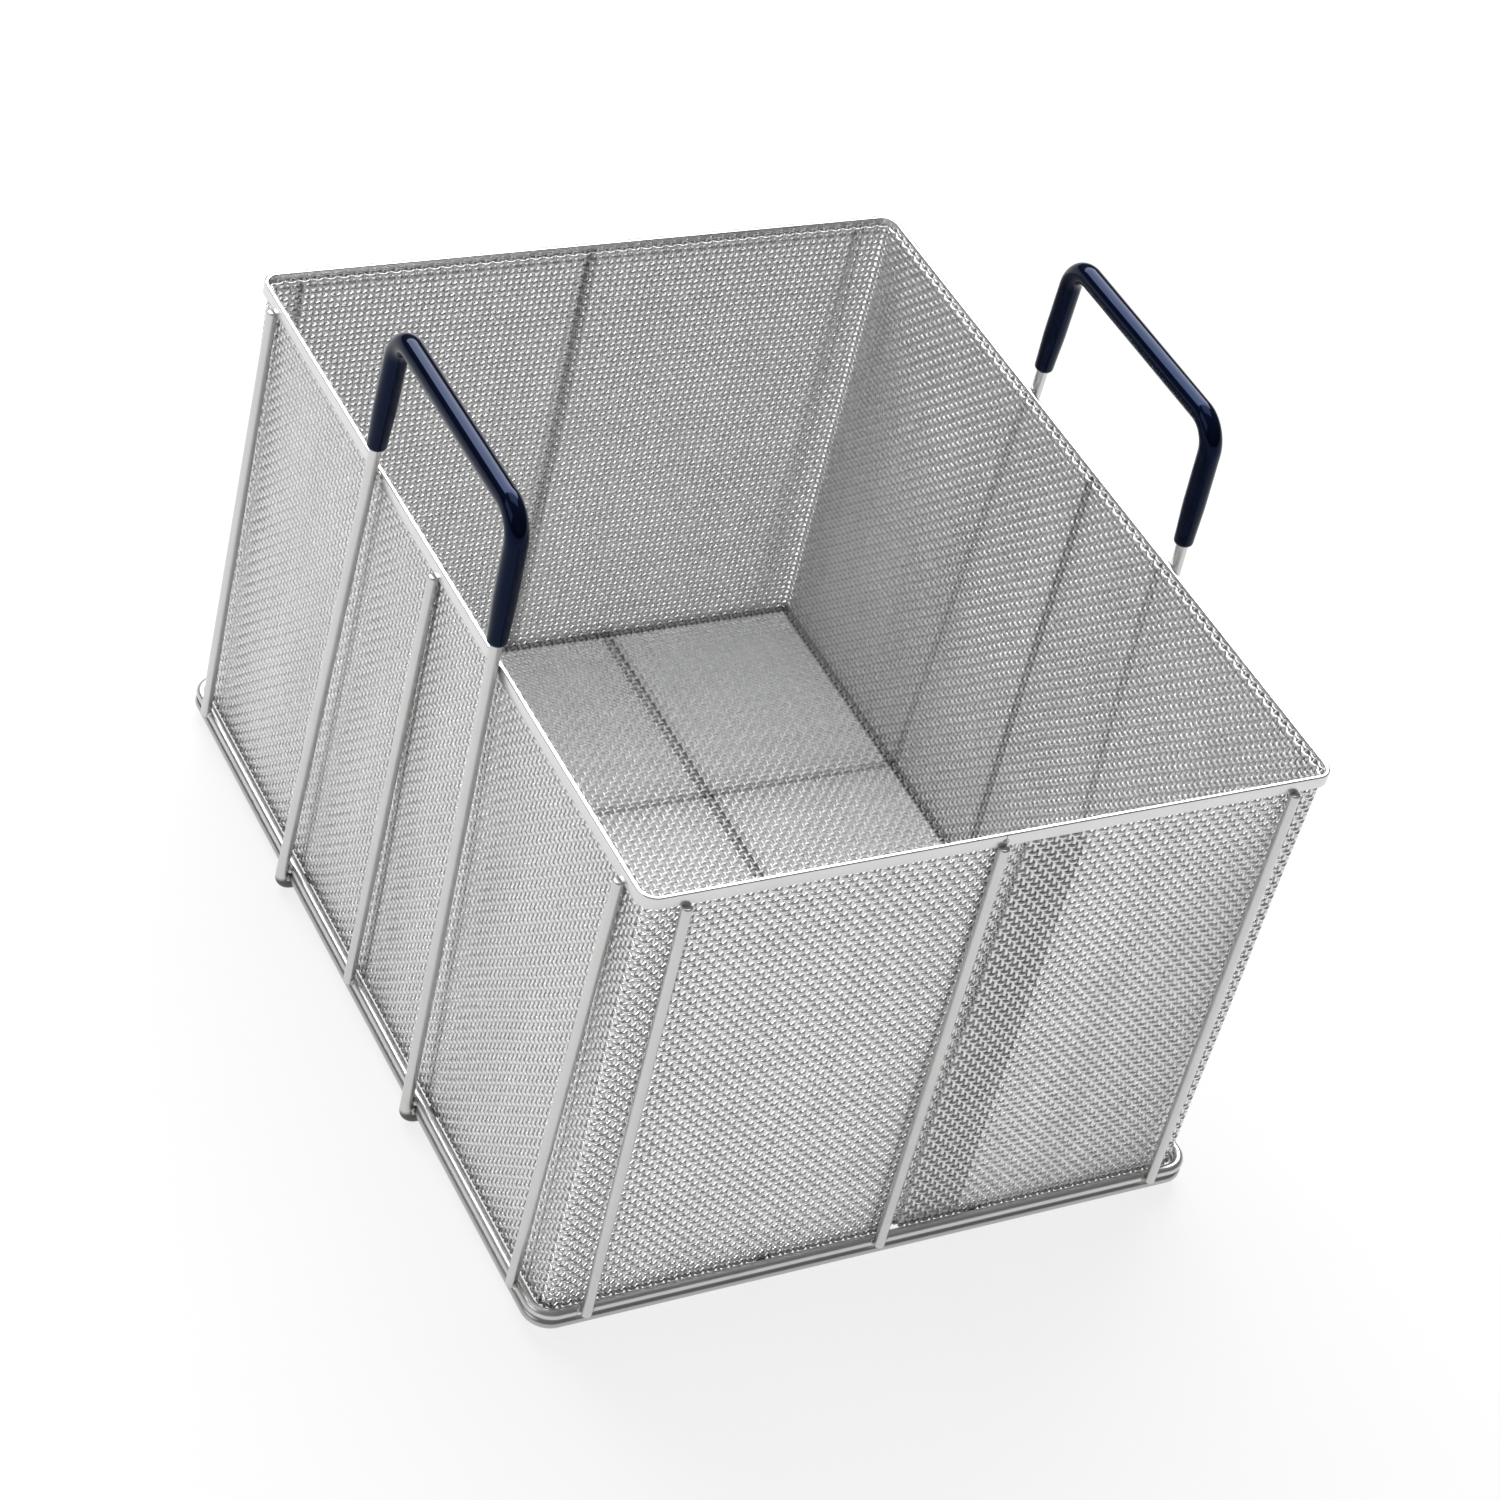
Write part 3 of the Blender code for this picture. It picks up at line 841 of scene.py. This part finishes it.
@dataclass
class MeshBox:
    """Wall strip and floor panel, woven wire by wire."""

    wall: WallMesh = field(default_factory=WallMesh)
    floor: FloorMesh = field(default_factory=FloorMesh)
    wall_finish: WovenSteel = WovenSteel()
    # The floor's wire is given paler tones than the walls' same wire: painted light on its upward
    # face.
    lit_floor_finish: WovenSteel = WovenSteel(dark=grey(0.80), pale=grey(0.96), roughness=0.42)
    seed: int = 7

    def build(self) -> None:
        """Make the wires, dress them and let them stand for the CAD sheets."""
        rng = np.random.default_rng(self.seed)
        self.wall.build(rng, self.wall_finish)
        self.floor.build(rng, self.lit_floor_finish)


def rounded_line(corners: Array, radii: Sequence[float], steps: int) -> Array:
    """Line through corners, each inner corner rounded.

    At a corner the arc's middle lies on the bisector, r / sin a from the corner,
    where a is half the angle between the two runs.  The arc's points are
    middle - r (cos w . bisector - sin w . chord), w from -(90 - a) to 90 - a.

    Args:
        corners: the line's corners, ends included.
        radii: one radius for each inner corner.
        steps: points on each arc, less one.

    Returns:
        Points along the line.
    """
    line = [corners[:1]]
    for before, corner, after, radius in zip(corners, corners[1:], corners[2:], radii):
        back = (before - corner) / np.linalg.norm(before - corner)
        ahead = (after - corner) / np.linalg.norm(after - corner)
        bisector = (back + ahead) / np.linalg.norm(back + ahead)
        chord = (ahead - back) / np.linalg.norm(ahead - back)
        half = math.acos(float(np.dot(back, bisector)))
        middle = corner + bisector * radius / math.sin(half)
        turn = (np.linspace(-1.0, 1.0, steps + 1) * (math.pi / 2 - half))[:, None]
        line.append(middle - radius * (np.cos(turn) * bisector - np.sin(turn) * chord))
    line.append(corners[-1:])
    return np.concatenate(line)


def rounding(radius: float, inset: float, steps: int = 5) -> tuple[Array, Array]:
    """Distances from a wire's tip and the radii there, a quarter circle of radius inset."""
    angle = np.linspace(0.0, math.pi / 2, steps + 1)
    return inset * (1 - np.cos(angle)), radius - inset * (1 - np.sin(angle))


def carried(outline: tuple[Array, Array], profile: Array) -> Array:
    """Carry a profile round an outline: point + outward . u, at height z.

    Args:
        outline: points on the ground and outward directions.
        profile: (u, z) pairs, clockwise.

    Returns:
        stations x profile x 3 points.
    """
    points, outward = outline
    flat = points[:, None] + outward[:, None] * profile[None, :, :1]
    height = np.broadcast_to(profile[None, :, 1:], flat.shape[:2] + (1,))
    return np.concatenate((flat, height), axis=2)


def arc(u: float, z: float, radius: float, start: float, end: float, steps: int) -> Array:
    """Points (u, z) on an arc, angles in quarter turns."""
    turn = np.linspace(start, end, steps + 1) * math.pi / 2
    return np.stack((u + radius * np.cos(turn), z + radius * np.sin(turn)), axis=1)


@dataclass(frozen=True)
class Rim(Plan):
    """Flat bar round the mesh's top edge, its ends butted and tacked on the front."""

    top_round: float = 0.65 * MM
    foot_round: float = 0.3 * MM
    joint: float = 0.3 * MM
    crease: float = 30.0
    finish: RolledSteel = RolledSteel()

    def profile(self) -> Array:
        """Section of the bar.

        Returns:
            (u, z) pairs, clockwise from the foot of its outer face.
        """
        top, foot = self.top_round, self.foot_round
        section = np.concatenate((
            arc(self.rim_outer - top, self.rim_top - top, top, 0, 1, 4),
            arc(self.rim_inner + top, self.rim_top - top, top, 1, 2, 4),
            arc(self.rim_inner + foot, self.rim_bottom + foot, foot, 2, 3, 2),
            arc(self.rim_outer - foot, self.rim_bottom + foot, foot, 3, 4, 2)))
        return section[::-1]

    def build(self) -> None:
        """Bend the bar round the box."""
        points, outward = self.outline()
        front = np.array([(sign * self.joint / 2, -self.half_length) for sign in (1, -1)])
        facing = np.array(((0.0, -1.0),))
        outline = (np.concatenate((front[:1], points, front[1:])),
                   np.concatenate((facing, outward, facing)))
        skin = Skin()
        skin.add(carried(outline, self.profile()))
        skin.present("rim_bar", self.finish, Slot.RIM, "rim_channel", crease=self.crease)


@dataclass(frozen=True)
class BaseFrame(Plan):
    """The two stacked rings, the floor bars and the twelve uprights."""

    sides: int = 24
    floor_bar_reach: float = 51.0 * MM
    seat: float = 0.3 * MM
    foot_out: float = 7.8 * MM
    foot_height: float = 11.8 * MM
    top_out: float = 3.6 * MM
    top_height: float = 236.9 * MM
    tip: float = 0.9 * MM
    bar_crease: float = 40.0
    upright_crease: float = 60.0
    finish: DrawnSteel = DrawnSteel()
    # The floor bars get near black painted shade under the floor.
    bar_finish: DrawnSteel = DrawnSteel(under_floor_shade=(0.08, 0.08, 0.078, 1.0))

    def build(self) -> None:
        """Carry the rings round the box, lay the bars in the lower one, stand the uprights."""
        for name, height in (("lower", self.lower_ring), ("upper", self.upper_ring)):
            section = arc(self.ring_out, height, self.wire, 0, -4, self.sides)[:-1]
            skin = Skin()
            skin.add(carried(self.outline(), section), loop=True)
            skin.present("base_ring_wire_" + name, self.finish, Slot.FRAME, "base_ring_" + name)
        end = self.half_length + self.ring_out - self.wire - self.seat
        for name, x in (("left", -self.floor_bar_reach), ("right", self.floor_bar_reach)):
            line = np.array([(x, y, self.lower_ring) for y in (-end, end)])
            skin = Skin()
            skin.add(ring_points(line, np.array((0.0, 0.0, 1.0)), self.wire, self.sides))
            skin.present("floor_bar_wire_" + name, self.bar_finish, Slot.FRAME,
                         "floor_bar_" + name, crease=self.bar_crease)
        for wall, facing, half, places in self.walls():
            names = ("front", "middle", "rear") if facing[0] else ("left", "middle", "right")
            for name, at in zip(names, places):
                self.upright(f"{wall}_{name}", facing, half, at)

    def upright(self, name: str, facing: Array, half: float, at: float) -> None:
        """Stand a wire from over the upper ring to under the rim, its tips rounded.

        Args:
            name: its wall and place.
            facing: outward direction of the wall.
            half: the wall's distance from the middle.
            at: its place along the wall.
        """
        along = np.abs(facing[::-1]) * at
        foot = np.append(facing * (half + self.foot_out) + along, self.foot_height)
        top = np.append(facing * (half + self.top_out) + along, self.top_height)
        length = np.linalg.norm(top - foot)
        inset, radii = rounding(self.wire, self.tip)
        steps = np.concatenate((inset, length - inset[::-1]))[:, None] / length
        skin = Skin()
        skin.add(ring_points(foot + (top - foot) * steps, np.append(facing, 0.0),
                             np.concatenate((radii, radii[::-1])), self.sides))
        skin.present("upright_wire_" + name, self.finish, Slot.FRAME, "upright_" + name,
                     crease=self.upright_crease)


@dataclass(frozen=True)
class Handle(Plan):
    """One handle wire from runner to runner, with its dipped grip."""

    side: int = 1
    sides: int = 24
    grip_sides: int = 32
    wire_steps: int = 14
    grip_steps: int = 18
    lip_steps: int = 6
    swell_steps: int = 8
    wire_crease: float = 60.0
    grip_crease: float = 70.0
    runner_end: float = 0.15 * MM
    foot_bend: float = 5.3 * MM
    top_bend: float = 13.0 * MM
    grip_foot: float = 254.0 * MM
    grip: float = 4.9 * MM
    grip_end: float = 4.3 * MM
    grip_swell: float = 22.0 * MM
    lip: float = 1.8 * MM
    lip_share: float = 0.8
    bore: float = 2.75 * MM
    slant: Vector = (1.0, 0.8, 1.2)
    # Near black painted shade on the runners under the floor.
    wire_finish: DrawnSteel = DrawnSteel(under_floor_shade=(0.10, 0.10, 0.095, 1.0), shade_heights=(6.0 * MM, 9.0 * MM))
    grip_finish: DippedPlastic = DippedPlastic()

    @property
    def name(self) -> str:
        """Which handle it is."""
        return "left" if self.side < 0 else "right"

    def build(self) -> None:
        """Bend the wire and dip the grip."""
        self.bend_wire()
        self.dip_grip()

    def bend_wire(self) -> None:
        """Runner, foot bend, leg, top bar, leg, foot bend, runner."""
        corners = []
        for end in (1, -1):
            runner = (self.side * self.runner_end, end * self.leg_foot_reach, self.handle_wire)
            limb = [np.array(runner)] + [self.leg(self.side, end, height) for height in (
                self.handle_wire, self.handle_top)]
            corners += limb if end > 0 else limb[::-1]
        bends = (self.foot_bend, self.top_bend, self.top_bend, self.foot_bend)
        line = rounded_line(np.array(corners), bends, self.wire_steps)
        slant = np.array(self.slant) * (self.side, 1.0, 1.0)
        skin = Skin()
        skin.add(ring_points(line, slant, self.handle_wire, self.sides))
        skin.present("handle_wire_" + self.name, self.wire_finish, Slot.FRAME,
                     "handle_" + self.name, crease=self.wire_crease)

    def dip_grip(self) -> None:
        """Sleeve over the top of the wire, slimmer towards its rounded ends.

        The outer radius is the end's radius plus a smooth step up to the full
        one over the swell's length, less a quarter ellipse at each lip.
        """
        foot, top = self.grip_foot, self.handle_top
        corners = np.array([self.leg(self.side, end, height) for end, height in (
            (1, foot), (1, top), (-1, top), (-1, foot))])
        line = rounded_line(corners, (self.top_bend, self.top_bend), self.grip_steps)
        reach = np.concatenate(([0.0], np.cumsum(np.linalg.norm(np.diff(line, axis=0), axis=1))))
        lip, _ = rounding(self.grip_end, self.lip, self.lip_steps)
        half = np.concatenate((lip, np.linspace(self.lip, self.grip_swell, self.swell_steps)[1:]))
        stations = np.unique(np.concatenate((half, reach[1:-1], reach[-1] - half)).round(9))
        centres = np.stack([np.interp(stations, reach, line[:, k]) for k in range(3)], axis=1)
        inward = np.minimum(stations, reach[-1] - stations)
        share = np.clip(inward / self.grip_swell, 0.0, 1.0)
        body = self.grip_end + (self.grip - self.grip_end) * share ** 2 * (3 - 2 * share)
        near = np.clip(1 - inward / self.lip, 0.0, 1.0)
        radii = body - (self.grip_end - self.bore) * (1 - np.sqrt(1 - near ** 2)) * self.lip_share
        across = np.array((float(self.side), 0.0, 0.0))
        outer = ring_points(centres, across, radii, self.grip_sides)
        inner = ring_points(centres, across, self.bore, self.grip_sides)
        skin = Skin()
        skin.add(np.concatenate((outer, inner[::-1])), loop=True)
        skin.present("grip_sleeve_" + self.name, self.grip_finish, Slot.GRIP, "grip_" + self.name,
                     crease=self.grip_crease)


@dataclass(frozen=True)
class Welds(Plan):
    """Fused metal at the crossings of the frame wires and under the grips.

    A bead's three sizes are its half sizes outwards, along the wall and upwards.
    """

    sides: int = 14
    rings: int = 9
    tip: float = 0.06
    lump: float = 0.10
    foot_bead: Vector = (1.5 * MM, 1.9 * MM, 1.7 * MM)
    leg_bead: Vector = (1.3 * MM, 2.0 * MM, 1.9 * MM)
    rim_bead: Vector = (2.0 * MM, 2.9 * MM, 2.4 * MM)
    tack: Vector = (0.5 * MM, 1.5 * MM, 1.5 * MM)
    foot_place: Vector = (1.7 * MM, 2.5 * MM, 0.5 * MM)
    leg_side: float = 1.9 * MM
    tack_drop: float = 0.6 * MM
    foot_phase: float = 1.7
    leg_phase: float = 2.3
    tack_phase: float = 0.4
    finish: WeldSteel = WeldSteel()

    def blob(self, skin: Skin, middle: Sequence[float], facing: Sequence[float], size: Vector,
             phase: float) -> None:
        """Add a lumpy ellipsoid.

        A point is middle + size . (direction), with the size swollen by
        1 + lump sin(3 t + p) sin(2 w + p), t round and w along the upright axis.

        Args:
            skin: where it goes.
            middle: its middle.
            facing: outward direction of the wall, on the ground.
            size: half sizes outwards, along the wall and upwards.
            phase: p, so that no two lumps are alike.
        """
        w = np.linspace(self.tip, math.pi - self.tip, self.rings)[:, None]
        t = ((np.arange(self.sides) + 0.5) * 2 * math.pi / self.sides)[None, :]
        swell = 1 + self.lump * np.sin(3 * t + phase) * np.sin(2 * w + phase)
        out = np.array((facing[0], facing[1], 0.0))
        along = np.array((-facing[1], facing[0], 0.0))
        grid = (size[0] * np.sin(w) * np.cos(t) * swell)[..., None] * out
        grid = grid + (size[1] * np.sin(w) * np.sin(t) * swell)[..., None] * along
        grid = grid - (size[2] * np.cos(w) * np.ones_like(t))[..., None] * np.array((0.0, 0.0, 1.0))
        skin.add(np.array(middle) + grid)

    def build(self) -> None:
        """Weld the feet, the legs, the rim's joint and the grips' legs."""
        out, side, up = self.foot_place
        for wall, facing, half, places in self.walls():
            skin = Skin()
            for k, at in enumerate(places):
                for sign in (-1, 1):
                    flat = facing * (half + self.ring_out + out) + np.abs(facing[::-1]) * (
                        at + sign * side)
                    self.blob(skin, (*flat, self.upper_ring + up), facing, self.foot_bead,
                              self.foot_phase * k + sign)
            if facing[0]:
                self.legs(skin, facing)
            skin.present("base_welds_" + wall, self.finish, Slot.FRAME)
        self.rim_welds()

    def legs(self, skin: Skin, facing: Array) -> None:
        """Add the lumps between a long side's legs and both rings.

        Args:
            skin: where they go.
            facing: outward direction of the side.
        """
        out = facing[0] * (self.half_width + self.ring_out + self.wire)
        for end in (-1, 1):
            for height in (self.lower_ring, self.upper_ring):
                leg = self.leg(int(facing[0]), end, height)
                for sign in (-1, 1):
                    self.blob(skin, (out, leg[1] + sign * self.leg_side, height), facing,
                              self.leg_bead, self.leg_phase * end + sign + height / MM)

    def rim_welds(self) -> None:
        """Make the lumps between legs and rim, and the tack on the rim's joint."""
        height = (self.rim_top + self.rim_bottom) / 2
        for side_name, side in (("left", -1), ("right", 1)):
            for place, end in (("front", -1), ("rear", 1)):
                name = f"{side_name}_{place}"
                leg = self.leg(side, end, height)
                middle = (side * (self.half_width + self.rim_outer),
                          leg[1] - end * self.handle_wire, height)
                skin = Skin()
                self.blob(skin, middle, (float(side), 0.0), self.rim_bead, side + 2.0 * end)
                skin.present("rim_weld_bead_" + name, self.finish, Slot.RIM, "rim_weld_" + name)
        skin = Skin()
        tack_place = (0.0, -(self.half_length + self.rim_outer), height - self.tack_drop)
        self.blob(skin, tack_place, (0.0, -1.0), self.tack, self.tack_phase)
        skin.present("rim_joint_tack", self.finish, Slot.RIM)


# Studio


def link(name: str, data: Any, axes: Iterable[Sequence[float]],
         place: Sequence[float]) -> bpy.types.Object:
    """Put a lamp or a camera into the scene.

    Args:
        name: the object's name.
        data: the lamp or the camera.
        axes: rows of its turn.
        place: where it stands.

    Returns:
        The linked object.
    """
    made = bpy.data.objects.new(name, data)
    rows = [[*row, at] for row, at in zip(axes, place)]
    made.matrix_world = Matrix(rows + [[0.0, 0.0, 0.0, 1.0]])
    bpy.context.scene.collection.objects.link(made)
    return made


@dataclass(frozen=True)
class SoftBox:
    """A rectangular lamp: name, place, width and height, and watts."""

    name: str
    place: Vector
    size: Pair
    power: float

    def stand(self, target: Vector) -> None:
        """Turn the lamp to a point and put it into the scene.

        Args:
            target: what it faces.
        """
        lamp = bpy.data.lights.new(self.name, "AREA")
        lamp.shape = "RECTANGLE"
        lamp.size, lamp.size_y = self.size
        lamp.energy = self.power
        away = np.array(self.place) - np.array(target)
        away /= np.linalg.norm(away)
        side = np.cross((0.0, 0.0, 1.0), away)
        side /= np.linalg.norm(side)
        link(self.name, lamp, zip(side, np.cross(away, side), away), self.place)


@dataclass
class Studio:
    """Pale floor with a low wall, a dome, four soft boxes and the photograph's camera."""

    floor_radius: float = 9.0
    floor_sides: int = 64
    floor_drop: float = 0.2 * MM
    wall_height: float = 1.0
    floor_glow: float = 0.8
    dome_low: float = 0.05
    dome_high: float = 0.25
    dome_top: float = 0.9
    target: Vector = (0.0, 0.0, 0.12)
    lamps: tuple[SoftBox, ...] = (
        SoftBox("rear_soft_box", (0.3, 1.25, 1.65), (2.8, 1.0), 64.0),
        SoftBox("top_soft_box", (0.2, 0.45, 2.2), (1.7, 1.2), 18.0),
        SoftBox("left_soft_box", (-2.0, 0.0, 1.5), (1.6, 1.1), 9.0),
        SoftBox("front_fill", (-0.5, -2.3, 1.7), (1.6, 1.2), 0.5))
    camera_place: Vector = (-0.74231, -1.05394, 1.17876)
    camera_axes: tuple[Vector, ...] = (
        (0.86888, 0.163846, -0.467121), (-0.444413, 0.673836, -0.590289),
        (0.218046, 0.720485, 0.658298))
    focal_pixels: float = 3850.96
    centre: Pair = (850.2, 900.1)
    picture: float = 1500.0
    sensor: float = 36.0

    def build(self) -> None:
        """Set the floor, the world, the lamps, the camera and the view."""
        self.lay_floor()
        self.set_world()
        for lamp in self.lamps:
            lamp.stand(self.target)
        self.set_camera()
        bpy.context.scene.view_settings.view_transform = "Standard"

    def lay_floor(self) -> None:
        """Round pale floor with a low wall, white to the eye, which keeps the basket's shadow."""
        sides, radius = self.floor_sides, self.floor_radius
        corner = np.arange(sides)
        after = (corner + 1) % sides
        angle = corner * 2 * math.pi / sides
        rim = np.stack((np.cos(angle), np.sin(angle), np.zeros_like(angle)), axis=1) * radius
        top = rim + (0.0, 0.0, self.wall_height)
        wall = np.stack((after, corner, corner + sides, after + sides), axis=1)
        mesh = bpy.data.meshes.new("studio_floor")
        mesh.from_pydata(np.concatenate((rim, top)).tolist(), [], [corner.tolist()] + wall.tolist())
        floor = bpy.data.objects.new("studio_floor", mesh)
        floor.location = (0.0, 0.0, -self.floor_drop)
        bpy.context.scene.collection.objects.link(floor)
        white = bpy.data.materials.new("studio_white")
        recipe = Recipe(white)
        recipe.finish(Base_Color=grey(0.9), Roughness=0.9, Specular_IOR_Level=0.1)
        camera, glossy, through = (
            recipe.node("ShaderNodeLightPath", {}, {}, f"Is {kind} Ray")
            for kind in ("Camera", "Glossy", "Transmission"))
        glow = recipe.node("ShaderNodeEmission", {}, {"Color": grey(1.0), "Strength": 1.0})
        mixed = recipe.node("ShaderNodeMixShader", {}, {
            0: (camera + glossy + through) * self.floor_glow,
            1: Signal(recipe, recipe.shader.outputs[0]), 2: glow})
        recipe.tree.links.new(mixed.socket, recipe.tree.nodes["Material Output"].inputs["Surface"])
        mesh.materials.append(white)

    def set_world(self) -> None:
        """A soft dome that is dimmer towards the horizon."""
        world = bpy.data.worlds.new("studio_dome")
        bpy.context.scene.world = world
        dome = Recipe(world, "Background")
        sky = dome.node("ShaderNodeTexCoord", {}, {}, "Generated")
        dome.finish(Color=grey(1.0), Strength=dome.node("ShaderNodeMapRange", {}, {
            "Value": dome.axis("Z", sky), "From Min": 0.0, "From Max": self.dome_top,
            "To Min": self.dome_low, "To Max": self.dome_high}))

    def set_camera(self) -> None:
        """Stand the camera where the photograph was taken from."""
        lens = bpy.data.cameras.new("photo_camera")
        lens.sensor_width = self.sensor
        lens.lens = self.focal_pixels / self.picture * self.sensor
        lens.shift_x = (self.picture / 2 - self.centre[0]) / self.picture
        lens.shift_y = (self.centre[1] - self.picture / 2) / self.picture
        bpy.context.scene.camera = link("photo_camera", lens, self.camera_axes, self.camera_place)


def main() -> None:
    """Build the basket's looks in order."""
    logging.basicConfig(level=logging.INFO, format="%(message)s")
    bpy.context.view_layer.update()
    MeshBox().build()
    Rim().build()
    BaseFrame().build()
    for side in (-1, 1):
        Handle(side=side).build()
    Welds().build()
    Studio().build()


if __name__ == "__main__":
    main()
